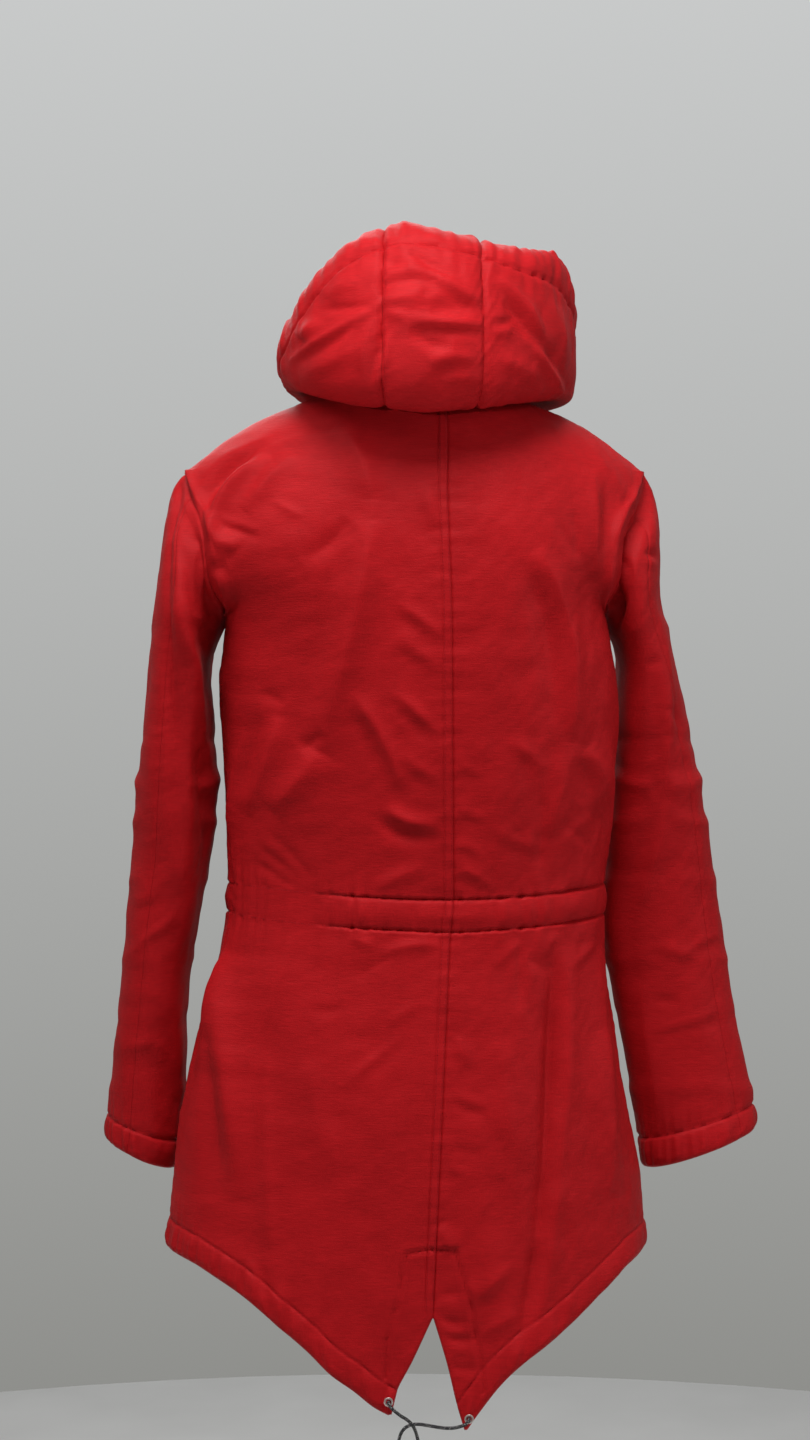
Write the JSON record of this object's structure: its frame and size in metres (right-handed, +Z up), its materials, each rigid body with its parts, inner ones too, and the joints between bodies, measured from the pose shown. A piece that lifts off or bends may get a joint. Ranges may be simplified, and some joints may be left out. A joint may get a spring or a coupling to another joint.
{
  "type": "hooded fishtail parka",
  "caption": "Lightly padded hooded coat in its worn form: open neck, hem and cuffs, drawn waist casing, split fishtail back with an elastic hem cord, closed front zip.",
  "frame": {"origin": "middle of the neck base, at the height of the shoulder seams' neck ends, where the wearer's shoulders hold the coat", "axes": "+Z up, the coat's back faces +Y and its front -Y, +X towards the wearer's left"},
  "size_m": [0.5857, 0.2842, 1.0516],
  "materials": {
    "shell_cloth": "soft matt-satin red cloth with a fine cross rib, light padding behind it",
    "zip_tape_cloth": "red woven tape with red moulded teeth",
    "zip_metal": "plain satin metal",
    "eyelet_metal": "pale rolled metal",
    "cord_braid": "black round braid with white flecks"
  },
  "bodies": {
    "jacket": {"back_left": "shell_cloth", "back_right": "shell_cloth", "front_left": "shell_cloth", "front_right": "shell_cloth", "sleeve_left_top": "shell_cloth", "sleeve_left_under": "shell_cloth", "sleeve_right_top": "shell_cloth", "sleeve_right_under": "shell_cloth", "hood_centre": "shell_cloth", "hood_left": "shell_cloth", "hood_right": "shell_cloth", "zip_tape": "zip_tape_cloth", "zip_slider": "zip_metal", "eyelet_left": "eyelet_metal", "eyelet_right": "eyelet_metal", "hem_cord": "cord_braid"},
    "pull_tab": {"zip_pull": "zip_metal"}
  },
  "joints": [
    {"name": "pull_swing", "type": "hinge", "parent": "jacket", "child": "pull_tab", "pos_m": [0.018, -0.097, -0.006], "axis": [-1, 0, 0], "range_deg": [0, 150]}
  ]
}
